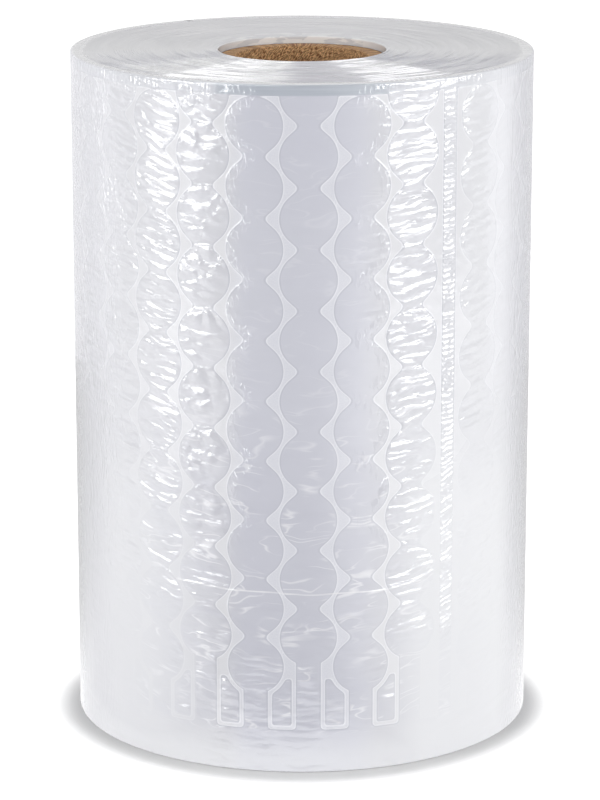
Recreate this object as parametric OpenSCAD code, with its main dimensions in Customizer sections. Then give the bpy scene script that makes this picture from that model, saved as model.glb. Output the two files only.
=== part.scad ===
// A tight roll of flat two-ply cushioning film on a paperboard core.
// The roll stands on its end. The origin is the middle of its foot, and +Z is the roll's axis.
// Angles round the roll start at the front, which faces -Y, and grow towards +X.

/* [Roll] */
// Outside diameter of the roll
roll_d = 265; // [200:1:340]
// Width of the film web, which is the height of the roll
web_w = 390; // [300:1:520]
// Rounding of the roll's outer corners
corner_r = 1.2; // [0.5:0.1:3]

/* [Core] */
// Bore of the paperboard core
core_bore_d = 76.2; // [50:0.1:100]
// Wall of the core
core_wall = 9.9; // [4:0.1:14]
// Depth of the core's ends below the film's end faces
core_recess = 4.6; // [1:0.1:12]
// Chamfer on the rims of the core
core_chamfer = 0.6; // [0.2:0.1:1.5]
// Gap between the core and the first turn of film
winding_gap = 0.1; // [0.05:0.01:0.3]

/* [Turns on the end faces] */
// Width of the spiral line between two bands of turns
turn_line_w = 0.8; // [0.3:0.1:1.2]
// Depth of the spiral line
turn_line_depth = 0.6; // [0.2:0.1:1.2]
// Distance from one pass of the spiral line to the next
turn_step = 6; // [3:0.5:16]

/* [Cells] */
// Diameter of one round cell
cell_d = 32; // [24:0.5:34]
// Distance between the cells of one chain
cell_pitch = 33.9; // [32.5:0.1:44]
// Distance between neighbouring chains, round the roll
chain_pitch = 29.7; // [28:0.1:44]
// Width of the neck between two cells of a chain
neck_w = 13; // [6:0.5:18]
// Width of the blunt end of a seal's point in the neck
seal_tip_w = 1.6; // [0.4:0.1:3]
// Height of the lowest cell centre of a low chain
first_cell_z = 62.2; // [50:0.1:90]

/* [Seals] */
// Depth of the seals below the loose film, along the middle of a strip
seal_depth = 0.9; // [0.6:0.05:1.2]
// Height of the unsealed channel at the foot of the roll
channel_h = 25.4; // [15:0.1:40]
// Width of the inlet from the channel into a chain
inlet_w = 14; // [8:0.5:18]
// Width of the seal line round the pocket between two inlets
pocket_line_w = 2.3; // [1:0.1:4]
// Height of the top of a pocket below the lowest cell centre of a low chain
pocket_drop = 7; // [4:0.5:12]
// Rounding of a pocket seal's lower corners
pocket_corner_r = 2; // [0.5:0.1:3.5]

/* [Margin, perforation and free edge] */
// Height of the unsealed margin at the top of the roll
margin_h = 6.5; // [3:0.1:15]
// Depth of the loose film below the margin
margin_proud = 0.3; // [0.1:0.05:1]
// Angle of the perforation from the front
perforation_at = 37.7; // [-60:0.1:60]
// Width of the unsealed lane that the perforation runs in
perforation_lane_w = 9.6; // [5:0.1:14]
// Distance between the chains on either side of a perforation
perforation_span = 48; // [46:0.5:70]
// Step down at the free edge of the film
free_edge_step = 0.4; // [0.2:0.05:0.45]
// Distance round the roll in which the step fades out
free_edge_fade = 9; // [6:0.5:20]

// Least distance from the free edge to the next chain of the turn below
free_edge_room = 7; // [0:0.5:12]

/* [Hidden] */

roll_r = roll_d / 2;
loose_r = roll_r - margin_proud;
seal_r = loose_r - seal_depth;
core_r = core_bore_d / 2 + core_wall;
core_len = web_w - 2 * core_recess;
winding_r = core_r + winding_gap;
past = 1;
round_fn = 96;
cell_fn = 24;

// Chains: as many as fit between the perforation and the free edge
turn_deg = 180 / (PI * loose_r);
chain_deg = chain_pitch * turn_deg;
span_deg = perforation_span * turn_deg;
chains = 1 + floor((360 - span_deg - free_edge_room * turn_deg) / chain_deg);
chains_left = ceil(chains / 2);
chains_right = chains - chains_left;
last_right = perforation_at + span_deg / 2 + (chains_right - 1) * chain_deg;
free_edge_at = last_right + span_deg / 2;

// Middle of the seal strip beside a perforation, from the perforation
lane_off = (perforation_span / 2 - neck_w / 2 + perforation_lane_w / 2) / 2;
lane_deg = lane_off * turn_deg;

// Heights of the pattern
margin_z = web_w - margin_h;
cell_r = cell_d / 2;
high_cell_z = first_cell_z + cell_pitch / 2;
cells = 1 + floor((margin_z + past - first_cell_z) / cell_pitch);
pocket_top = first_cell_z - pocket_drop;

// The straight flank of a seal's point leaves the cell at the angle at which
// it reaches the middle of the neck at half the neck's width
neck_reach = sqrt(pow(cell_pitch / 2, 2) + pow(neck_w / 2, 2));
flank_deg = 90 - atan2(neck_w / 2, cell_pitch / 2) - acos(cell_r / neck_reach);
neck_lap = 0.3;

// Loose film in the neck above a cell, from just inside the cell's edge
module neck() {
    x = (cell_r - neck_lap) * cos(flank_deg);
    y = (cell_r - neck_lap) * sin(flank_deg);
    tip = seal_tip_w / 2;
    tip_x = neck_w / 2 + tip * tan(flank_deg);
    polygon([
        [x, y], [tip_x, cell_pitch / 2 - tip], [tip_x, cell_pitch / 2 + tip], [x, cell_pitch - y],
        [-x, cell_pitch - y], [-tip_x, cell_pitch / 2 + tip], [-tip_x, cell_pitch / 2 - tip], [-x, y]
    ]);
}

// Loose film of one chain: round cells, necks and the inlet below them
module chain_outline(lowest) {
    for (i = [0 : cells - 1]) translate([0, lowest + i * cell_pitch]) circle(r = cell_r, $fn = cell_fn);
    for (i = [0 : cells - 2]) translate([0, lowest + i * cell_pitch]) neck();
    translate([-inlet_w / 2, channel_h - past]) square([inlet_w, lowest - channel_h + past]);
}

// Seal strip between a chain on its left and a chain on its right
module strip_outline(left_lowest, right_lowest) {
    half = chain_pitch / 2;
    edge = half - min(neck_w, inlet_w) / 2 + past;
    difference() {
        translate([-edge, channel_h]) square([2 * edge, margin_z - channel_h]);
        translate([-half, 0]) chain_outline(left_lowest);
        translate([half, 0]) chain_outline(right_lowest);
        pocket(left_lowest < right_lowest ? -half : half);
        for (s = [-1, 1]) pocket_corner(s * (half - inlet_w / 2), -s);
    }
}

// Loose pocket inside the foot of a strip, which follows the low cell beside it
module pocket(low_x) {
    wide = chain_pitch - inlet_w - 2 * pocket_line_w;
    foot = channel_h + pocket_line_w;
    difference() {
        translate([-wide / 2, foot]) square([wide, pocket_top - foot]);
        translate([low_x, first_cell_z]) circle(r = cell_r + pocket_line_w, $fn = cell_fn);
    }
}

// Loose film outside a rounded lower corner of a strip
module pocket_corner(x, inward) {
    difference() {
        translate([x - (inward < 0 ? pocket_corner_r : 0), channel_h]) square(pocket_corner_r);
        translate([x + inward * pocket_corner_r, channel_h + pocket_corner_r])
            circle(r = pocket_corner_r, $fn = cell_fn);
    }
}

// Seal strip with one straight edge, to the right of a chain
module lane_strip_outline(lowest) {
    half = perforation_span / 2;
    edge = half - perforation_lane_w / 2;
    difference() {
        translate([neck_w / 2 - past, channel_h]) square([edge - neck_w / 2 + past, margin_z - channel_h]);
        chain_outline(lowest);
    }
}

// Presses an outline flat into the roll at an angle
module press(angle) {
    rotate([0, 0, angle]) translate([0, -seal_r, 0]) rotate([90, 0, 0])
        linear_extrude(height = seal_depth + margin_proud + past) children();
}

// Height of the lowest cell of a chain, counted from the perforation
function lowest_left(i) = i % 2 == 0 ? high_cell_z : first_cell_z;
function lowest_right(i) = i % 2 == 0 ? first_cell_z : high_cell_z;

// All seals of the outer turn
module seals() {
    for (i = [0 : chains_left - 2])
        press(perforation_at - span_deg / 2 - (i + 0.5) * chain_deg)
            strip_outline(lowest_left(i + 1), lowest_left(i));
    for (i = [0 : chains_right - 2])
        press(perforation_at + span_deg / 2 + (i + 0.5) * chain_deg)
            strip_outline(lowest_right(i), lowest_right(i + 1));
    lane_seal(perforation_at - lane_deg, lowest_left(0), 0);
    lane_seal(perforation_at + lane_deg, lowest_right(0), 1);
    lane_seal(free_edge_at - lane_deg, lowest_right(chains_right - 1), 0);
}

// Seal strip beside a perforation lane, whose chain is on its left or, mirrored, on its right
module lane_seal(angle, lowest, mirrored) {
    press(angle) mirror([mirrored, 0]) translate([lane_off - perforation_span / 2, 0])
        lane_strip_outline(lowest);
}

// Step at the free edge of the film, which fades into the turn below it
module free_edge() {
    rotate([0, 0, free_edge_at]) translate([0, 0, -past])
        linear_extrude(height = web_w + 2 * past)
            polygon([
                [0, -loose_r + free_edge_step],
                [free_edge_fade, -sqrt(roll_r * roll_r - free_edge_fade * free_edge_fade)],
                [free_edge_fade, -roll_r - past],
                [0, -roll_r - past]
            ]);
}

// Spiral line between bands of turns, made of half rings about two centres
module turn_line() {
    passes = floor((roll_r - corner_r - winding_r - turn_line_w) / turn_step);
    for (i = [1 : 2 * passes - 1])
        translate([i % 2 == 0 ? turn_step / 4 : -turn_step / 4, 0, 0])
            rotate([0, 0, i % 2 == 0 ? 0 : 180])
                rotate_extrude(angle = 180, $fn = round_fn)
                    translate([winding_r + i * turn_step / 2, -turn_line_depth])
                        square([turn_line_w, turn_line_depth + past]);
}

// Section of the wound film
module film_section() {
    difference() {
        translate([winding_r, 0]) square([roll_r - winding_r, web_w]);
        translate([loose_r, corner_r]) square([margin_proud + past, margin_z - corner_r]);
        for (z = [0, 1]) translate([roll_r, z * web_w]) mirror([0, z]) corner_cut(z == 0 ? margin_proud : 0);
    }
}

// What a rounded corner takes away, below and to the left of the corner
module corner_cut(inset) {
    difference() {
        translate([-corner_r - inset, -past]) square([corner_r + inset + past, corner_r + past]);
        translate([-corner_r - inset, corner_r]) circle(r = corner_r, $fn = cell_fn * 2);
    }
}

module core() {
    color("peru")
        rotate_extrude($fn = round_fn)
            translate([core_bore_d / 2, core_recess])
                polygon([
                    [core_chamfer, 0], [core_wall - core_chamfer, 0], [core_wall, core_chamfer],
                    [core_wall, core_len - core_chamfer], [core_wall - core_chamfer, core_len],
                    [core_chamfer, core_len], [0, core_len - core_chamfer], [0, core_chamfer]
                ]);
}

module film_roll() {
    color("lavender")
        difference() {
            rotate_extrude($fn = round_fn) film_section();
            seals();
            translate([0, 0, web_w]) turn_line();
            mirror([0, 0, 1]) turn_line();
            free_edge();
        }
}

core();
film_roll();
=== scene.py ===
"""Scene of a tight roll of flat cushioning film on a board core, standing on its end.

The part has two nodes. The board core stays as it is and gets its board finish. The wound
film is dressed as its outer turn, in four panels that run from the perforation to the free
edge, over the wound turns, whose edges show on the end faces.

Lengths up to the finishes are millimetres, as in the part's source. Angles round the roll are
degrees there. They start at the front and grow towards +X. A side of -1 is left of the
perforation and 1 is right of it, and d is the distance from it, along the film.
"""
import functools
import math

import bmesh
import bpy
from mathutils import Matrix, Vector, noise


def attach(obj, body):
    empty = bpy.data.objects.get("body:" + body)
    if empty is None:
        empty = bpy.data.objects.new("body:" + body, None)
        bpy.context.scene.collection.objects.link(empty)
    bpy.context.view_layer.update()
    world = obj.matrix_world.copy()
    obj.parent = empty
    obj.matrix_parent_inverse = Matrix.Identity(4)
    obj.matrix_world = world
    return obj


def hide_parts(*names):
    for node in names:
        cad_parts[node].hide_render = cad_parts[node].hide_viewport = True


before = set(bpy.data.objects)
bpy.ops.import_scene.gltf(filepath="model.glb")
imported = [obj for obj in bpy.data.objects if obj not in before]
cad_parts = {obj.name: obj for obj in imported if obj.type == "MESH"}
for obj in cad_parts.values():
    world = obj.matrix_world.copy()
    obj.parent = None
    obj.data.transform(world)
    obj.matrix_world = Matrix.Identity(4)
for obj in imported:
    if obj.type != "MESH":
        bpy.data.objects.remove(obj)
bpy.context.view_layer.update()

MM = 0.001

# Roll and core
WEB_W = 390.0
CORNER_R = 1.2
CORE_R = 48.0
CORE_BORE_R = 38.1
CORE_RECESS = 4.6
BOARD_LEAD = 88.0
LOOSE_R = 132.2
SEAL_SINK = 0.06

# Seal pattern, as in the part's source
CELL_R = 16.0
CELL_PITCH = 33.9
CHAIN_PITCH = 29.7
NECK_W = 13.0
FIRST_CELL_Z = 62.2
CELLS = 10
CHAINS = {-1: 15, 1: 13}
CHANNEL_H = 25.4
INLET_W = 14.0
POCKET_LINE_W = 2.3
POCKET_TOP = 55.2
POCKET_CORNER_R = 2.0
MARGIN_Z = 383.5
PERFORATION_AT = 37.7
LANE_W = 9.6
SPAN = 48.0
FREE_EDGE_STEP = 0.4
FREE_EDGE_FADE = 9.0

# Marks of use that only the finish shows
LADDER_STEP = 3.1
SLIT_STEP = 7.0
LONG_CREASE_Z = 106.0

MM_PER_DEG = math.pi * LOOSE_R / 180
FLANK = math.radians(48)
FLANK_COS = math.cos(FLANK)
FLANK_SIN = math.sin(FLANK)
RIGHT_END = SPAN + (CHAINS[1] - 1) * CHAIN_PITCH
LEFT_END = 360 * MM_PER_DEG - RIGHT_END
FRONT_U = -PERFORATION_AT * MM_PER_DEG

# A distance that counts as away from every crease
AWAY = 9.0

# Panels of the outer turn: name, side, start and end beside the perforation, and columns.
# The last panel on the left goes on by TUCK under the free edge.
LEFT_SPLIT = SPAN / 2 + (CHAINS[-1] // 2 + 0.5) * CHAIN_PITCH
RIGHT_SPLIT = SPAN / 2 + (CHAINS[1] // 2 + 0.5) * CHAIN_PITCH
TUCK = 4.0
PANELS = (
    ("film_panel_left_front", -1, 0.0, LEFT_SPLIT, 208),
    ("film_panel_left_back", -1, LEFT_SPLIT, LEFT_END + TUCK, 150),
    ("film_panel_right_front", 1, 0.0, RIGHT_SPLIT, 183),
    ("film_panel_right_back", 1, RIGHT_SPLIT, RIGHT_END, 158),
)
PANEL_ROWS = 460
CORNER_STEPS = 5

# What each point of the outer turn tells its finish
TRAITS = ("seal_mm", "crease_mm", "liveliness", "contrast", "pucker", "flakes", "end_face", "painted_light",
          "lower_front", "drape")


def smooth(low, high, value):
    """Smooth step from 0 at low to 1 at high."""
    t = min(1.0, max(0.0, (value - low) / (high - low)))
    return t * t * (3 - 2 * t)


def soft_min(a, b, reach):
    """The lesser of two lengths, with the corner between them rounded."""
    h = max(reach - abs(a - b), 0) / reach
    return min(a, b) - h * h * reach / 4


def grain(x, y, seed):
    """Smooth noise on the flat film, from about -1 to 1."""
    return noise.noise(Vector((x, y, seed)))


# ---------------------------------------------------------------- seal pattern

def outside_chain(x, z, lowest):
    """Distance from a chain's loose film, positive in the seal beside it."""
    x = abs(x)
    n = min(max(round((z - lowest) / CELL_PITCH), 0), CELLS - 1)
    y = z - lowest - n * CELL_PITCH
    near = math.hypot(x, y) - CELL_R
    if n == 0 and y < 0:
        return min(near, x - INLET_W / 2)
    if n == CELLS - 1 and y > 0:
        return near
    y = abs(y)
    far = CELL_PITCH - y
    if math.atan2(y, x) > FLANK:
        near = x * FLANK_COS + y * FLANK_SIN - CELL_R
    if math.atan2(far, x) > FLANK:
        far_gap = x * FLANK_COS + far * FLANK_SIN - CELL_R
    else:
        far_gap = math.hypot(x, far) - CELL_R
    return soft_min(near, far_gap, 3.4)


def outside_pocket(x, z, low_x):
    """Distance from the loose pocket in a strip's foot, positive in its seal line."""
    wide = CHAIN_PITCH / 2 - INLET_W / 2 - POCKET_LINE_W
    cell = CELL_R + POCKET_LINE_W - math.hypot(x - low_x, z - FIRST_CELL_Z)
    foot = CHANNEL_H + POCKET_LINE_W - z
    inside = soft_min(wide - abs(x), -foot, 1.6)
    inside = soft_min(inside, POCKET_TOP - z, 1.6)
    return -soft_min(inside, -cell, 1.6)


def lowest_cell(k, side):
    """Height of the lowest cell centre of chain k, counted from the perforation."""
    high = (k % 2 == 0) == (side < 0)
    return FIRST_CELL_Z + (CELL_PITCH / 2 if high else 0)


def angle_at(d, side):
    """Angle round the roll at a distance from the perforation."""
    return PERFORATION_AT + side * d / MM_PER_DEG


def in_seal(d, z, side):
    """Distance into a seal, negative in loose film."""
    chains = CHAINS[side]
    k = math.floor((d - SPAN / 2) / CHAIN_PITCH)
    gap = min(z - CHANNEL_H, MARGIN_Z - z, d - LANE_W / 2)
    if side > 0:
        gap = min(gap, RIGHT_END - LANE_W / 2 - d)
    for j in (k, k + 1):
        if 0 <= j < chains:
            x = d - SPAN / 2 - j * CHAIN_PITCH
            gap = min(gap, outside_chain(x, z, lowest_cell(j, side)))
    if 0 <= k < chains - 1:
        half = CHAIN_PITCH / 2
        x = d - SPAN / 2 - k * CHAIN_PITCH - half
        low_x = -half if lowest_cell(k, side) < lowest_cell(k + 1, side) else half
        gap = min(gap, outside_pocket(x, z, low_x))
        a = POCKET_CORNER_R - (half - INLET_W / 2 - abs(x))
        b = POCKET_CORNER_R - (z - CHANNEL_H)
        if a > 0 and b > 0:
            gap = min(gap, POCKET_CORNER_R - math.hypot(a, b))
    return gap


def neck_fold(d, z, side):
    """Distance from the fold across the nearest neck, or AWAY and more."""
    k = round((d - SPAN / 2) / CHAIN_PITCH)
    x = d - SPAN / 2 - k * CHAIN_PITCH
    n = round((z - lowest_cell(k, side)) / CELL_PITCH - 0.5)
    if k < 0 or n < 0 or z > MARGIN_Z - 4:
        return AWAY
    y = z - lowest_cell(k, side) - (n + 0.5) * CELL_PITCH
    bend = 0.9 * grain(d / 9, z / 40, 3.1)
    keep = smooth(NECK_W / 2 + 3, NECK_W / 2 - 1, abs(x))
    keep *= smooth(-0.35, 0.1, grain(k * 3.7, n * 2.9, side))
    return 0.5 + abs(y + bend) + AWAY * (1 - keep)


def long_crease(angle, z):
    """Distance from the long crease that runs round the front of the roll near its foot."""
    keep = smooth(-36, -32, angle) * smooth(34, 30, angle)
    return abs(z - LONG_CREASE_Z - 2.5 * grain(angle / 14, 0.5, 6.1)) + AWAY * (1 - keep)


# ---------------------------------------------------------------- relief of the outer turn

def liveliness(angle, z):
    """How strongly the loose film is crumpled at a place on the roll."""
    calm = smooth(-19, -17, angle) * smooth(21.5, 19.5, angle) * (0.5 + 0.5 * smooth(85, 150, z))
    sides = smooth(36, 46, angle) * 0.6 + smooth(-40, -52, angle) * smooth(260, 190, z) * 0.5
    foot = max(smooth(95, 60, z) * smooth(19, 29, angle), smooth(120, 75, z) * smooth(31, 39, -angle),
               0.4 * smooth(120, 75, z) * smooth(19, 29, -angle))
    edge = smooth(52, 62, abs(angle)) * smooth(110, 95, abs(angle))
    patch = (0.95 + 0.5 * grain(angle / 17, z / 42, 8.3)) * (1 - 0.1 * smooth(31, 35, -angle))
    return patch * (1 - 0.9 * calm) * (1 - sides) * (1 - 0.85 * foot) * (1 - 0.6 * edge)


def flaky(angle, z):
    """Where the film is crumpled into flakes and not into ridges."""
    return smooth(-33, -30, angle) * smooth(-14, -17, angle) * smooth(120, 190, z)


def seal_contrast(angle, z):
    """How clearly the seals stand out, least at the sides and at their foot."""
    side = smooth(27, 52, abs(angle))
    foot = max(0.88 * smooth(19, 26, -angle), smooth(31, 38, -angle), smooth(25, 31, angle))
    foot *= smooth(250, 130, z) * smooth(125, 100, abs(angle))
    return (1 - 0.62 * side) * (1 - 0.93 * foot)


def pucker_share(angle, z):
    """Where the film next to the seals is gathered in short puckers, either side of the calm front."""
    left = smooth(-18.5, -17, angle) * smooth(-10.5, -13, angle)
    right = smooth(12, 14.5, angle) * smooth(21.5, 20, angle)
    return max(left, right) * smooth(110, 170, z)


def painted_light_share(angle, z):
    """Painted light: how much paler the outer turn is painted where the lamps light it, least in front, most low
    down beside the front and along the bottom channel.
    """
    low = smooth(250, 130, z)
    left = 0.3 * smooth(66, 50, -angle) * max(0.5, low) * smooth(23, 42, -angle)
    right = smooth(70, 56, angle) * max(0.55 * low * smooth(18, 32, angle), 0.35 * smooth(36, 46, angle))
    channel = 0.45 * smooth(26, 5, z) * smooth(75, 55, abs(angle))
    return max(left, right, channel)


def drape_share(angle, z):
    """Where the film hangs in upright waves, on the sides of the roll."""
    left = smooth(42, 60, -angle) * (0.2 + 1.3 * smooth(100, 240, z))
    patch = 0.7 + 0.6 * grain(angle / 9, z / 50, 2.2)
    return max(left, smooth(56, 68, angle)) * smooth(120, 100, abs(angle)) * patch


def lower_front_share(angle, z):
    """Where the calm front is tinted darker and shows fine creases, most below the middle of the roll."""
    low = 0.25 + 0.75 * smooth(230, 150, z)
    return low * smooth(50, 34, abs(angle)) * smooth(CHANNEL_H - 6, CHANNEL_H + 4, z)


def upper_outer(d, z, side):
    """Full in the upper part of a cell away from the front, least in its lower part towards the front."""
    k = round((d - SPAN / 2) / CHAIN_PITCH)
    n = round((z - lowest_cell(k, side)) / CELL_PITCH)
    x = d - SPAN / 2 - k * CHAIN_PITCH
    y = z - lowest_cell(k, side) - n * CELL_PITCH
    return 0.2 + 0.8 * smooth(-10, 1, 0.75 * x + 0.66 * y)


def tooth(t, rise):
    """Saw-toothed wave from 0 to 1, which rises over the given share of its length."""
    t -= math.floor(t)
    return t / rise if t < rise else (1 - t) / (1 - rise)


def along_folds(u, z):
    """Height measured across the folds, which bow upwards from the front to the sides and sway."""
    bow = 22 * math.tanh(((u - FRONT_U) / 130) ** 2)
    return z - bow + 2.2 * grain(u / 20, z / 14, 1.7) + 0.8 * grain(u / 7, z / 8, 4.9)


def crumple(u, z, flakes):
    """Height of the crumpled film: crisp ridges that run round the roll, or flat flakes."""
    run = along_folds(u, z)
    ridge = tooth(run / 5.8, 0.6) * smooth(-0.35, 0.15, grain(u / 15, run / 6, 3.8))
    x = u + 3 * grain(u / 9, z / 9, 5.5)
    near = noise.voronoi(Vector((x / 13, run / 8, 9.1)))[0]
    return 0.45 * ridge * (1 - 0.8 * flakes) + (0.5 + 0.8 * flakes) * (near[1] - near[0]) - 0.3


def film_height(d, z, side, gap):
    """Height of the outer turn above the loose film's radius. gap is the distance into a seal."""
    angle = angle_at(d, side)
    u = side * d
    loose = smooth(0.0, 1.8, -gap)
    flakes = flaky(angle, z)
    live = liveliness(angle, z) * (1 - flakes * (1 - upper_outer(d, z, side)))
    height = -SEAL_SINK * smooth(-0.9, 0.5, gap) * seal_contrast(angle, z)
    if d > LANE_W / 2 and z < CHANNEL_H:
        height += (0.2 + 0.5 * smooth(9, 3, abs(angle + 29))) * crumple(u * 0.5, z * 0.6, 0) * loose
    elif z > MARGIN_Z:
        height += 0.12 + 0.05 * grain(u / 30, z / 1.6, 7.7)
    elif d > LANE_W / 2:
        height += crumple(u, z, flakes) * loose * live
    if side < 0:
        height -= FREE_EDGE_STEP * smooth(LEFT_END - FREE_EDGE_FADE, LEFT_END, d)
    return height


# ---------------------------------------------------------------- outer turn in panels

def wall_profile():
    """Stations up the roll: radius, height, and how far the film faces outward and upward there."""
    stations = []
    for r in (3.0, 1.5):
        stations.append((LOOSE_R - CORNER_R - r, 0.02 + 0.25 * (r > 2), 0.0, -1.0))
    for i in range(CORNER_STEPS + 1):
        turn = math.radians(90 * i / CORNER_STEPS)
        stations.append((LOOSE_R - CORNER_R * (1 - math.sin(turn)), CORNER_R * (1 - math.cos(turn)),
                         math.sin(turn), -math.cos(turn)))
    tall = WEB_W - 2 * CORNER_R
    for i in range(1, PANEL_ROWS):
        stations.append((LOOSE_R, CORNER_R + tall * i / PANEL_ROWS, 1.0, 0.0))
    for i in range(CORNER_STEPS + 1):
        turn = math.radians(90 * i / CORNER_STEPS)
        stations.append((LOOSE_R - CORNER_R * (1 - math.cos(turn)), WEB_W - CORNER_R * (1 - math.sin(turn)),
                         math.cos(turn), math.sin(turn)))
    for r, sink in ((1.5, 0.02), (4.0, 0.1), (6.5, 0.3), (7.1, 1.3)):
        stations.append((LOOSE_R - CORNER_R - r, WEB_W - sink, 0.0, 1.0))
    return stations


def film_traits(d, z, side, gap, up):
    """What the finish needs to know at a point of the outer turn."""
    angle = angle_at(d, side)
    flakes = flaky(angle, z)
    lit = 1 - flakes * (1 - upper_outer(d, z, side))
    return {
        "seal_mm": gap,
        "crease_mm": min(neck_fold(d, z, side), long_crease(angle, z)),
        "liveliness": max(liveliness(angle, z) * lit, 0.12) * smooth(0.0, 1.5, -gap),
        "contrast": seal_contrast(angle, z),
        "pucker": pucker_share(angle, z) * smooth(0.2, 0.8, -gap) * smooth(7.0, 3.0, -gap),
        "flakes": flakes,
        "end_face": smooth(0.3, 0.9, abs(up)),
        "painted_light": painted_light_share(angle, z),
        "lower_front": lower_front_share(angle, z) * smooth(0.3, 1.0, -gap),
        "drape": drape_share(angle, z),
    }


def film_panel(name, side, start, end, columns):
    """One panel of the outer turn, with its map in flat film and its map along the folds."""
    stations = wall_profile()
    last = len(stations) - 1
    bm = bmesh.new()
    uv = bm.loops.layers.uv.new("film_map")
    fold_uv = bm.loops.layers.uv.new("fold_map")
    layers = {trait: bm.verts.layers.float.new(trait) for trait in TRAITS}
    bmesh.ops.create_grid(bm, x_segments=columns, y_segments=last, size=0.5)
    places = {}
    for v in bm.verts:
        share = v.co.x + 0.5 if side > 0 else 0.5 - v.co.x
        d = start + (end - start) * share
        r, z, out, up = stations[round((v.co.y + 0.5) * last)]
        gap = in_seal(d, z, side)
        height = film_height(d, z, side, gap)
        if up:
            height = min(height, 0.1) * out * out
        turn = math.radians(angle_at(d, side))
        reach = (r + height * out) * MM
        v.co = Vector((reach * math.sin(turn), -reach * math.cos(turn), max(z + height * up, 0.0) * MM))
        for trait, value in film_traits(d, z, side, gap, up).items():
            v[layers[trait]] = value
        u = side * d
        places[v] = ((u * MM, z * MM), (u * MM, along_folds(u, z) * MM))
    for face in bm.faces:
        face.smooth = True
        for loop in face.loops:
            loop[uv].uv, loop[fold_uv].uv = places[loop.vert]
    return film_piece(bm, name)


def new_piece(bm, name):
    """Turns a bmesh into an object of the scene."""
    mesh = bpy.data.meshes.new(name)
    bm.to_mesh(mesh)
    bm.free()
    piece = bpy.data.objects.new(name, mesh)
    bpy.context.scene.collection.objects.link(piece)
    return piece


def film_piece(bm, name):
    """Turns a bmesh into a piece of the wound film that rides on the roll."""
    piece = new_piece(bm, name)
    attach(piece, "root")
    return piece


# ---------------------------------------------------------------- wound turns

def turns_profile(bands):
    """Outline of the wound turns below the outer one, from the bottom bore edge round to the top."""
    inner = CORE_R + 0.1
    outer = LOOSE_R - 1.0
    points = [(inner, WEB_W / 2), (inner, 1.0), (inner + 0.4, 0.3), (outer - 2.0, 0.3), (outer, 1.2)]
    points += [(outer, WEB_W - 1.6), (outer - 0.6, WEB_W - 0.5)]
    wide = (outer - 0.6 - inner) / bands
    for i in range(1, bands):
        edge = outer - 0.6 - wide * (i + 0.3 * grain(i * 1.7, 0.5, 2.6))
        points.append((edge, WEB_W - 0.5))
        points.append((edge - 0.05, WEB_W - 0.3))
    points += [(inner + 0.4, WEB_W - 0.5), (inner, WEB_W - 1.0)]
    return points


def wound_turns(name, bands, steps):
    """Closed body of the wound turns, with the edges of the turns as low steps on its ends."""
    bm = bmesh.new()
    rim = [bm.verts.new((r * MM, 0, z * MM)) for r, z in turns_profile(bands)]
    edges = [bm.edges.new((rim[i], rim[(i + 1) % len(rim)])) for i in range(len(rim))]
    bmesh.ops.spin(bm, geom=rim + edges, cent=(0, 0, 0), axis=(0, 0, 1), dvec=(0, 0, 0),
                   angle=2 * math.pi, steps=steps, use_merge=True, use_duplicate=False)
    bmesh.ops.remove_doubles(bm, verts=bm.verts, dist=1e-6)
    bmesh.ops.recalc_face_normals(bm, faces=bm.faces)
    for v in bm.verts:
        r = math.hypot(v.co.x, v.co.y) / MM
        z = v.co.z / MM
        if z > WEB_W - 0.7 and CORE_R + 2 < r < LOOSE_R - 3:
            turn = math.atan2(v.co.x, -v.co.y)
            x, y = math.cos(turn), math.sin(turn)
            level = WEB_W - 0.45 + 0.06 * grain(r / 7, 1.3 * x, 1.3 * y)
            if z > WEB_W - 0.4:
                step = 0.17 + 0.26 * grain(r / 3, 2.2 * x, 2.2 * y) + 0.14 * grain(r * 3.1, 6 * x, 6 * y)
                level += max(0.02, step)
            v.co.z = level * MM
    for face in bm.faces:
        face.smooth = True
    for edge in bm.edges:
        if len(edge.link_faces) == 2 and edge.calc_face_angle() > math.radians(30):
            edge.smooth = False
    return film_piece(bm, name)


# ---------------------------------------------------------------- finishes

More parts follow.
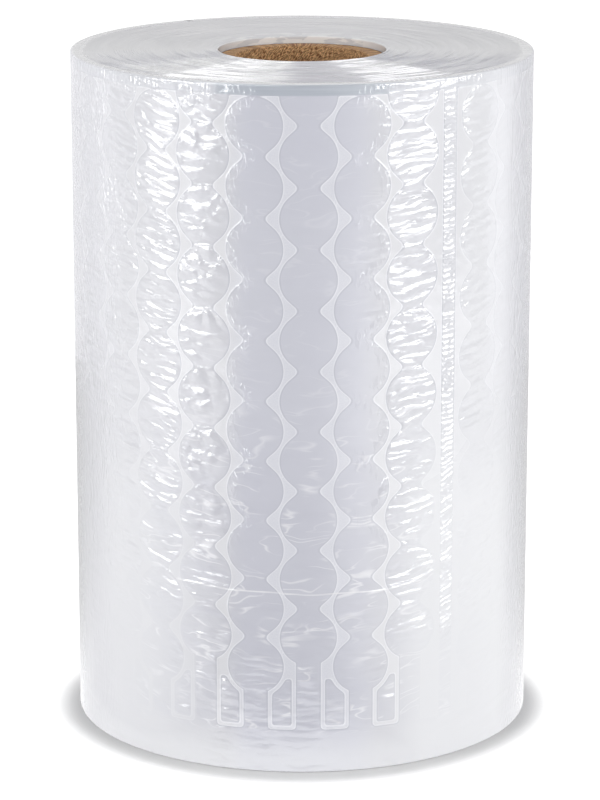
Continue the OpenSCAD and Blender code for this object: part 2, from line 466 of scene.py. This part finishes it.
class Nodes:
    """A node tree, with short calls for the nodes that the finishes use."""

    def __init__(self, tree):
        self.tree = tree

    def add(self, kind, sockets=None, **settings):
        node = self.tree.nodes.new(kind)
        for key, value in settings.items():
            setattr(node, key, value)
        for key, value in (sockets or {}).items():
            self.feed(value, node.inputs[key])
        return node

    def feed(self, value, socket):
        if isinstance(value, bpy.types.NodeSocket):
            self.tree.links.new(value, socket)
        else:
            socket.default_value = value

    def math(self, operation, a, b=0.0):
        return self.add("ShaderNodeMath", {0: a, 1: b}, operation=operation).outputs[0]

    def plus(self, *terms):
        return functools.reduce(lambda a, b: self.math("ADD", a, b), terms)

    def times(self, *factors):
        return functools.reduce(lambda a, b: self.math("MULTIPLY", a, b), factors)

    def minus(self, a, b):
        return self.math("SUBTRACT", a, b)

    def over(self, a, b):
        return self.math("DIVIDE", a, b)

    def apart(self, a, b):
        """How far apart two values are."""
        return self.math("ABSOLUTE", self.minus(a, b))

    def span(self, value, low, high, to_low=0.0, to_high=1.0):
        """Smooth step of a value from low to high, onto the range to_low to to_high."""
        sockets = {0: value, 1: low, 2: high, 3: to_low, 4: to_high}
        return self.add("ShaderNodeMapRange", sockets, interpolation_type="SMOOTHSTEP").outputs[0]

    def vector(self, x, y, z=0.0):
        return self.add("ShaderNodeCombineXYZ", {0: x, 1: y, 2: z}).outputs[0]

    def parts(self, vector):
        return list(self.add("ShaderNodeSeparateXYZ", {0: vector}).outputs)

    def object_place(self):
        return self.add("ShaderNodeTexCoord").outputs["Object"]

    def attribute(self, name):
        return self.add("ShaderNodeAttribute", attribute_name=name).outputs["Fac"]

    def stretched(self, source, scale, lean=0.0):
        """A vector turned by lean radians and stretched along its axes."""
        sockets = {"Vector": source, "Rotation": (0.0, 0.0, lean), "Scale": scale}
        return self.add("ShaderNodeMapping", sockets).outputs[0]

    def noise(self, vector, detail=2.0, roughness=0.5, distortion=0.0):
        sockets = {"Vector": vector, "Scale": 1.0, "Detail": detail, "Roughness": roughness,
                   "Distortion": distortion}
        return self.add("ShaderNodeTexNoise", sockets).outputs[0]

    def fold(self, vector, sharpness, detail=1.0, distortion=0.0):
        """Sharp ridges from noise, 0 to 1."""
        off = self.apart(self.noise(vector, detail, 0.5, distortion), 0.5)
        return self.math("MAXIMUM", self.minus(1.0, self.times(off, sharpness)), 0.0)

    def facets(self, vector, sway):
        """Flat facets that meet in sharp folds, 0 in the valleys between them."""
        off = self.vector(0.0, self.times(self.minus(self.noise(vector, 1.0), 0.5), sway))
        sockets = {"Vector": self.moved(vector, off), "Scale": 1.0}
        node = self.add("ShaderNodeTexVoronoi", sockets, feature="DISTANCE_TO_EDGE", voronoi_dimensions="2D")
        return node.outputs["Distance"]

    def moved(self, vector, by):
        return self.add("ShaderNodeVectorMath", {0: vector, 1: by}, operation="ADD").outputs[0]

    def radius(self, x, y):
        return self.math("SQRT", self.plus(self.times(x, x), self.times(y, y)))

    def turn(self, x, y):
        """Angle round the roll, in radians from the front."""
        return self.math("ARCTAN2", x, self.times(y, -1.0))

    def off_turn(self, place, middle=0.0):
        """Angle of a place round the roll, in radians either side of a middle."""
        x, y, _ = self.parts(place)
        return self.apart(self.turn(x, y), middle)

    def blend(self, share, a, b):
        node = self.add("ShaderNodeMix", data_type="RGBA")
        self.feed(share, node.inputs[0])
        self.feed(a, node.inputs[6])
        self.feed(b, node.inputs[7])
        return node.outputs[2]

    def tint(self, tone, colour, *shares):
        """A tone with a colour laid over it, as strongly as all the shares together."""
        return self.blend(self.times(*shares), tone, colour)

    def bump(self, height, strength):
        """Normals of a relief, whose height is given in millimetres."""
        return self.add("ShaderNodeBump", {"Height": height, "Strength": strength, "Distance": MM}).outputs[0]


class Finish(Nodes):
    """A new material."""

    def __init__(self, name):
        self.material = bpy.data.materials.new(name)
        self.material.use_nodes = True
        super().__init__(self.material.node_tree)
        self.shader = self.tree.nodes["Principled BSDF"]

    def shade(self, values):
        for name, value in values.items():
            self.feed(value, self.shader.inputs[name])


def srgb(r, g, b):
    """A colour written as it looks on a screen, 0 to 255."""
    def linear(c):
        c /= 255
        return c / 12.92 if c <= 0.04045 else ((c + 0.055) / 1.055) ** 2.4
    return (linear(r), linear(g), linear(b), 1.0)


class FilmFinish(Finish):
    """Clear film over a milky roll: glossy and crumpled where loose, calmer in the seals."""

    def __init__(self, name):
        super().__init__(name)
        self.uv = self.add("ShaderNodeUVMap", uv_map="film_map").outputs[0]
        self.fold_uv = self.add("ShaderNodeUVMap", uv_map="fold_map").outputs[0]
        self.across, self.up, _ = self.parts(self.uv)
        self.height_mm = self.times(self.up, 1000.0)
        self.off_front = self.apart(self.across, FRONT_U * MM)
        self.calm_front = self.span(self.off_front, 0.054, 0.042)
        self.contrast = self.attribute("contrast")
        self.seal = self.attribute("seal_mm")
        self.in_seal = self.times(self.span(self.seal, -0.12, 0.12), self.contrast)
        off_line = self.span(self.apart(self.seal, 0.25), 0.1, 0.4)
        self.seal_line = self.times(self.minus(1.0, off_line), self.contrast)
        self.crease = self.attribute("crease_mm")
        self.grit = self.noise(self.stretched(self.uv, (1300.0, 1300.0, 1.0)), 1.0)
        outline = self.outline()
        relief = self.plus(self.wrinkles(), self.puckers(), self.drapes(), self.ladder(), outline,
                           self.times(self.grit, 0.006), self.pleats())
        self.shade({
            "Base Color": self.tone(),
            "Normal": self.bump(outline, 0.3),
            "Roughness": self.plus(0.24, self.times(self.in_seal, 0.14)),
            "IOR": 1.5,
            "Coat Normal": self.bump(relief, 1.0),
            "Coat Weight": 1.0,
            "Coat Roughness": 0.03,
            "Coat IOR": 2.0,
        })

    def tone(self):
        """Colour: bluer in front than at the sides as painted light, paler in the seals, greyer in the margin;
        with painted light on the sides and foot, a painted shadow beside the seals, and darker low on the front.
        """
        cloud = self.noise(self.stretched(self.object_place(), (9.0, 9.0, 7.0)), 2.0)
        faint = self.noise(self.stretched(self.uv, (45.0, 160.0, 1.0)), 3.0, 0.6)
        dull = self.span(self.noise(self.stretched(self.fold_uv, (30.0, 75.0, 1.0)), 3.0, 0.6), 0.45, 0.7)
        hair = self.fold(self.stretched(self.fold_uv, (30.0, 125.0, 1.0)), 24.0, 1.5, 0.9)
        patchy = self.span(self.noise(self.stretched(self.uv, (45.0, 60.0, 1.0)), 1.0), 0.42, 0.6)
        streak = self.noise(self.stretched(self.uv, (22.0, 900.0, 1.0)), 2.0)
        painted_side_light = self.times(self.span(self.off_front, 0.028, 0.046), 0.6)
        lower_front = self.attribute("lower_front")
        seal_shadow_line = self.minus(1.0, self.span(self.apart(self.seal, -0.45), 0.1, 0.6))
        in_margin = self.span(self.height_mm, MARGIN_Z - 0.3, MARGIN_Z + 0.6)

        loose = self.blend(cloud, srgb(206, 207, 219), srgb(216, 217, 225))
        # painted light: the sides of the roll, where the lamps light it, painted less blue than the front
        loose = self.tint(loose, srgb(213, 213, 215), painted_side_light)
        # the calm front tinted darker, most towards the bottom
        loose = self.tint(loose, srgb(196, 197, 208), lower_front, 0.33)
        loose = self.tint(loose, srgb(200, 201, 212), faint, 0.3)
        loose = self.tint(loose, srgb(196, 197, 209), dull, lower_front, 0.3)
        loose = self.tint(loose, srgb(240, 240, 244), hair, patchy, lower_front, 0.8)
        sealed = self.blend(self.grit, srgb(214, 215, 225), srgb(230, 231, 237))
        # painted light: the seals too painted less blue at the sides, where the lamps light the roll
        sealed = self.tint(sealed, srgb(224, 224, 226), painted_side_light)
        margin = self.blend(streak, srgb(158, 166, 178), srgb(198, 204, 212))

        tone = self.blend(self.in_seal, loose, sealed)
        tone = self.tint(tone, srgb(242, 243, 248), self.seal_line, 0.65)
        # painted shadow: a thin darker line just outside each seal, on the loose film
        tone = self.tint(tone, srgb(184, 185, 197), seal_shadow_line, self.contrast, 0.4)
        # painted light: the sides and the foot painted paler where the lamps light the roll
        tone = self.tint(tone, srgb(243, 244, 246), self.attribute("painted_light"))
        tone = self.tint(tone, srgb(246, 246, 249), self.span(self.crease, 0.7, 0.15), 0.8)
        # the margin's own grey, painted fainter at the sides as painted light where the lamps light the roll
        tone = self.tint(tone, margin, in_margin, self.span(self.calm_front, 0.0, 1.0, 0.15, 0.85))
        return self.tint(tone, srgb(222, 222, 227), self.attribute("end_face"))

    def outline(self):
        """Relief of the seals and of the flat creases."""
        broken = self.span(self.noise(self.stretched(self.uv, (150.0, 110.0, 1.0)), 1.0), 0.4, 0.6, 0.1, 1.1)
        return self.plus(self.times(self.in_seal, broken, -0.06), self.times(self.seal_line, 0.05),
                         self.times(self.span(self.crease, 0.8, 0.0), 0.2))

    def wrinkles(self):
        """Relief of the crumpled film, in facets: long ones in the ridges, short ones in the flakes."""
        ridges = self.facets(self.stretched(self.fold_uv, (40.0, 200.0, 1.0)), 0.8)
        flakes = self.facets(self.stretched(self.fold_uv, (85.0, 110.0, 1.0)), 1.2)
        flaked = self.attribute("flakes")
        swell = self.span(self.noise(self.stretched(self.uv, (34.0, 60.0, 1.0)), 1.0), 0.3, 0.7, 0.5, 1.3)
        short_fold = self.fold(self.stretched(self.uv, (170.0, 400.0, 1.0)), 5.0, 1.0, 0.8)
        crumpled = self.plus(self.times(ridges, 1.15, self.minus(1.0, flaked)), self.times(flakes, 1.9, flaked))
        crumpled = self.plus(self.times(crumpled, swell), self.times(short_fold, 0.05))
        return self.times(crumpled, self.attribute("liveliness"))

    def puckers(self):
        """Relief of the short puckers beside the seals, which lean away from the front on both sides."""
        beside = self.vector(self.off_front, self.up)
        tick = self.noise(self.stretched(beside, (440.0, 170.0, 1.0), lean=-0.7), 0.0)
        return self.times(self.span(tick, 0.51, 0.6), self.attribute("pucker"), 0.75)

    def drapes(self):
        """Relief of the upright waves on the sides of the roll."""
        wave = self.fold(self.stretched(self.uv, (150.0, 48.0, 1.0)), 4.0, 2.0, 1.5)
        return self.times(wave, self.attribute("drape"), 0.75)

    def ladder(self):
        """Short ridges across the lane of the perforation, level at first and leaning low down, and its slits."""
        off_mm = self.times(self.math("ABSOLUTE", self.across), 1000.0)
        warp = self.vector(self.times(self.across, 200.0), self.times(self.height_mm, 0.09))
        lean = self.times(self.across, self.span(self.height_mm, 160.0, 215.0, -150.0, 0.0))
        wave = self.plus(self.over(self.height_mm, LADDER_STEP), lean, self.noise(warp, 1.0))
        wave = self.math("FRACT", wave)
        rung = self.math("MINIMUM", self.over(wave, 0.5), self.over(self.minus(1.0, wave), 0.5))
        row = self.math("FRACT", self.over(self.height_mm, SLIT_STEP))
        slit = self.times(self.span(off_mm, 0.5, 0.2), self.span(row, 0.2, 0.24))
        half = LANE_W / 2
        lane = self.times(self.span(off_mm, half - 0.1, half - 0.9), self.span(self.height_mm, 58.0, 76.0),
                          self.span(self.height_mm, MARGIN_Z, MARGIN_Z - 4),
                          self.span(self.height_mm, 140.0, 215.0, 0.62, 1.0))
        return self.times(self.minus(rung, self.times(slit, 0.3)), lane, 0.48)

    def pleats(self):
        """Relief of the upright pleats below the margin, beside the calm front."""
        pleat = self.noise(self.stretched(self.uv, (520.0, 75.0, 1.0)), 1.0)
        return self.times(pleat, self.minus(1.0, self.calm_front),
                          self.span(self.height_mm, MARGIN_Z - 9, MARGIN_Z - 1), 0.6)


def turns_finish():
    """Edges of the wound turns: fine rings on the end faces, with paler fans that are painted highlights and torn
    patches at the bore, the face's front and back painted lighter as painted light, and the bore wall painted
    pale as painted light.
    """
    f = Finish("film_turns_edge")
    x, y, z = f.parts(f.object_place())
    radius = f.radius(x, y)
    turn = f.turn(x, y)
    off_front = f.math("ABSOLUTE", turn)
    ring = f.noise(f.vector(f.times(radius, 1900.0), f.times(x, 14.0), f.times(y, 14.0)), 2.0)
    band = f.noise(f.vector(f.times(radius, 160.0), f.times(x, 9.0), f.times(y, 9.0)), 3.0)
    outer = f.span(radius, (LOOSE_R - 8.7) * MM, (LOOSE_R - 3.7) * MM)
    # ragged angle that bounds the painted highlight fans
    torn = f.noise(f.vector(f.times(radius, 260.0), f.times(turn, 5.0)), 3.0, 0.7)
    torn = f.plus(turn, f.times(f.minus(torn, 0.5), 0.5))
    # painted highlights: pale fans left and right of the front, where the lamps glint on the edges of the turns
    left_glint_fan = f.times(f.span(torn, -1.15, -0.85), f.span(torn, -0.04, -0.14), 0.9)
    right_glint_fan = f.times(f.span(torn, 0.3, 0.42), f.span(torn, 0.85, 0.65), 0.5)
    # painted light: the face's back and front painted lighter than its sides
    rear = f.times(f.span(off_front, 1.8, 2.6), 0.8)
    front = f.times(f.span(off_front, 1.0, 0.5), 0.7)
    petal = f.noise(f.vector(f.times(turn, 3.6), f.times(radius, 160.0), f.times(z, 300.0)), 3.0)
    petal = f.times(f.span(petal, 0.48, 0.53), f.span(radius, (CORE_R + 16) * MM, (CORE_R + 8) * MM),
                    f.span(off_front, 1.9, 2.5))
    bore = f.span(radius, (CORE_R + 0.8) * MM, (CORE_R + 0.3) * MM)

    tone = f.blend(band, srgb(190, 190, 198), srgb(206, 206, 212))
    tone = f.tint(tone, srgb(232, 232, 236), ring, 0.35)
    tone = f.tint(tone, srgb(232, 233, 236), outer, 0.5)
    # painted light on the face's back and front
    tone = f.tint(tone, srgb(228, 227, 232), f.plus(rear, front))
    tone = f.tint(tone, srgb(250, 250, 251), f.plus(left_glint_fan, right_glint_fan), f.span(ring, 0.3, 0.55))
    tone = f.tint(tone, srgb(248, 249, 249), petal, 0.75)
    # painted light: the bore wall painted near white to make up for its shade, with paler petals
    tone = f.tint(tone, f.blend(petal, srgb(228, 230, 234), srgb(254, 254, 254)), bore)
    f.shade({
        "Base Color": tone,
        "Normal": f.bump(f.plus(f.times(ring, 0.08), f.times(band, 0.2)), 0.5),
        "Roughness": 0.35,
        "Coat Weight": 1.0,
        "Coat Roughness": 0.1,
        "Coat IOR": 1.7,
    })
    return f.material


def board_finish():
    """Brown paperboard, wound in a spiral, with paler cut ends and a painted shadow along the outer rim of the
    cut ends, where the film meets the core.
    """
    f = Finish("core_board_brown")
    place = f.object_place()
    x, y, z = f.parts(place)
    turn = f.math("ARCTAN2", x, y)
    wound = f.math("FRACT", f.minus(f.over(turn, 2 * math.pi), f.over(z, BOARD_LEAD * MM)))
    seam = f.span(f.apart(wound, 0.5), 0.012, 0.003)
    around = f.times(turn, CORE_BORE_R * MM)
    fibre = f.noise(f.vector(f.times(f.plus(around, z), 330.0), f.times(f.minus(around, z), 1500.0)), 1.0, 0.6)
    fibre = f.span(fibre, 0.4, 0.6)
    speck = f.span(f.noise(f.stretched(place, (700.0, 700.0, 700.0)), 2.0, 0.6), 0.42, 0.34)
    mottle = f.noise(f.stretched(place, (90.0, 90.0, 60.0)), 3.0, 0.6)
    end = WEB_W / 2 - CORE_RECESS
    cut_end = f.span(f.apart(z, WEB_W / 2 * MM), (end - 1.0) * MM, (end - 0.6) * MM)
    rim = f.span(f.radius(x, y), (CORE_R - 2.0) * MM, (CORE_R - 0.8) * MM)

    tone = f.blend(fibre, srgb(122, 72, 37), srgb(255, 210, 152))
    tone = f.tint(tone, srgb(188, 140, 96), mottle, 0.2)
    tone = f.tint(tone, srgb(96, 58, 32), speck, 0.6)
    tone = f.tint(tone, srgb(88, 58, 38), seam, 0.5)
    tone = f.tint(tone, srgb(158, 114, 78), cut_end, 0.35)
    # painted shadow: the outer rim of the cut end darkened where the film meets the core
    tone = f.tint(tone, srgb(84, 56, 38), cut_end, rim, 0.8)
    f.shade({
        "Base Color": tone,
        "Normal": f.bump(f.plus(f.times(fibre, 0.08), f.times(seam, -0.12)), 0.8),
        "Roughness": 0.8,
    })
    return f.material


# ---------------------------------------------------------------- stage

def floor():
    """Pale floor that is white to the camera away from the roll, and keeps the roll's shadow near it, deepened by
    a painted shadow where its white glow fades out round the roll's foot, a little wider in front; in the roll's
    gloss it glows, less behind the roll.
    """
    bm = bmesh.new()
    bmesh.ops.create_grid(bm, x_segments=1, y_segments=1, size=4.0)
    piece = new_piece(bm, "studio_floor")
    piece.location.z = -0.0003
    f = Finish("studio_floor_white")
    place = f.moved(f.object_place(), (0.0, 0.006, 0.0))
    away = f.add("ShaderNodeVectorMath", {0: place}, operation="LENGTH").outputs["Value"]
    rays = f.add("ShaderNodeLightPath").outputs
    # painted shadow: the floor's white glow fades out in a ring round the roll's foot, a little wider in front
    direct = f.times(rays["Is Camera Ray"], f.span(away, 0.131, 0.158, 0.0, 1.0))
    mirrored = f.math("MAXIMUM", rays["Is Glossy Ray"], rays["Is Transmission Ray"])
    behind = f.span(f.off_turn(place), math.radians(95), math.radians(145), 0.64, 0.22)
    f.shade({
        "Base Color": (0.8, 0.8, 0.8, 1),
        "Roughness": 0.9,
        "Specular IOR Level": 0.0,
        "Emission Color": (1, 1, 1, 1),
        "Emission Strength": f.math("MAXIMUM", direct, f.times(mirrored, behind)),
    })
    piece.data.materials.append(f.material)


def surroundings():
    """White all round, dimmer where it only lights the roll."""
    world = bpy.data.worlds.new("studio_world")
    bpy.context.scene.world = world
    world.use_nodes = True
    w = Nodes(world.node_tree)
    back = w.tree.nodes["Background"]
    rays = w.add("ShaderNodeLightPath").outputs
    direct = w.math("MAXIMUM", rays["Is Camera Ray"], rays["Is Transmission Ray"])
    strength = w.math("MAXIMUM", direct, w.times(rays["Is Glossy Ray"], 0.85))
    w.feed((1, 1, 1, 1), back.inputs["Color"])
    w.feed(w.math("MAXIMUM", strength, 0.27), back.inputs["Strength"])


def round_roll(azimuth, reach, height):
    """A place at an azimuth in degrees, a reach from the roll's axis and a height, in metres."""
    a = math.radians(azimuth)
    return Vector((reach * math.sin(a), -reach * math.cos(a), height))


def front_card(s, t):
    """A place on the card in front of the roll, along the floor and then up."""
    azimuth = -57 + 94 * s
    run = 1.9 * t
    reach = 0.21 / math.cos(math.radians(azimuth)) + min(run, 0.8)
    return round_roll(azimuth, reach, 0.002 + max(run - 0.8, 0))


def left_card(s, t):
    """A place on the upright card behind the roll, on its left."""
    return round_roll(-165 + 67 * s, 0.9, 1.2 * t)


def right_card(s, t):
    """A place on the upright card behind the roll, on its right."""
    return round_roll(98 + 67 * s, 0.9, 1.2 * t)


def grey_card(name, place, shade):
    """A grey card that shows only in the roll's gloss. Returns its finish."""
    bm = bmesh.new()
    bmesh.ops.create_grid(bm, x_segments=24, y_segments=24, size=0.5)
    for v in bm.verts:
        v.co = place(v.co.x + 0.5, v.co.y + 0.5)
    card = new_piece(bm, name)
    card.visible_camera = False
    card.visible_shadow = False
    card.visible_diffuse = False
    f = Finish(name + "_grey")
    f.shade({"Base Color": (shade, shade, shade * 1.04, 1), "Roughness": 1.0, "Emission Color": (1, 1, 1.02, 1)})
    card.data.materials.append(f.material)
    return f


def cards():
    """Grey cards: one in front that fades out sideways, and two beside the roll that glow less behind it."""
    f = grey_card("front_card", front_card, 0.44)
    off_middle = f.off_turn(f.object_place(), math.radians(-10))
    f.shade({"Alpha": f.span(off_middle, math.radians(45), math.radians(12))})
    for name, place, far_glow in (("left_card", left_card, 0.56), ("right_card", right_card, 0.36)):
        f = grey_card(name, place, 0.5)
        off_front = f.off_turn(f.object_place())
        f.shade({"Emission Strength": f.span(off_front, math.radians(102), math.radians(136), 1.0, far_glow)})


def softbox(name, azimuth, reach, height, size, power):
    """A flat lamp that faces the roll. Azimuth 0 is the camera's side, and grows towards +X."""
    data = bpy.data.lights.new(name, "AREA")
    data.shape = "RECTANGLE"
    data.size, data.size_y = size
    data.energy = power
    lamp = bpy.data.objects.new(name, data)
    bpy.context.scene.collection.objects.link(lamp)
    lamp.location = round_roll(azimuth, reach, height)
    lamp.rotation_euler = (Vector((0, 0, 0.2)) - lamp.location).to_track_quat("-Z", "Y").to_euler()
    lamp.visible_camera = False
    return lamp


def lamps():
    """Soft lamps: one on each side, a strip in front that only the gloss shows, and one overhead."""
    softbox("softbox_left", azimuth=-52, reach=1.3, height=0.52, size=(1.05, 0.55), power=9.6)
    softbox("softbox_right", azimuth=58, reach=1.3, height=0.52, size=(1.15, 0.55), power=9.9)
    strip = softbox("strip_front", azimuth=-28, reach=1.0, height=0.84, size=(0.7, 0.3), power=3.0)
    strip.visible_diffuse = False
    softbox("overhead", azimuth=180, reach=0.4, height=1.6, size=(1.4, 1.0), power=4)


def camera():
    """The photograph's view: a long lens a little above the roll's top."""
    data = bpy.data.cameras.new("camera")
    data.lens = 157.41
    data.sensor_width = 36
    eye = bpy.data.objects.new("camera", data)
    bpy.context.scene.collection.objects.link(eye)
    eye.location = (0, -1.985, 0.6879)
    eye.rotation_euler = (math.radians(75.71), 0, math.radians(0.034))
    bpy.context.scene.camera = eye


camera()

film = FilmFinish("film_gloss").material
panels = [film_panel(*panel) for panel in PANELS]
turns = wound_turns("film_turns", bands=60, steps=256)
for panel in panels:
    panel.data.materials.append(film)
turns.data.materials.append(turns_finish())
for piece in panels + [turns]:
    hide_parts("film_roll")

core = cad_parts["core"]
core.data.materials.clear()
core.data.materials.append(board_finish())

floor()
surroundings()
lamps()
cards()

bpy.context.scene.view_settings.view_transform = "Standard"
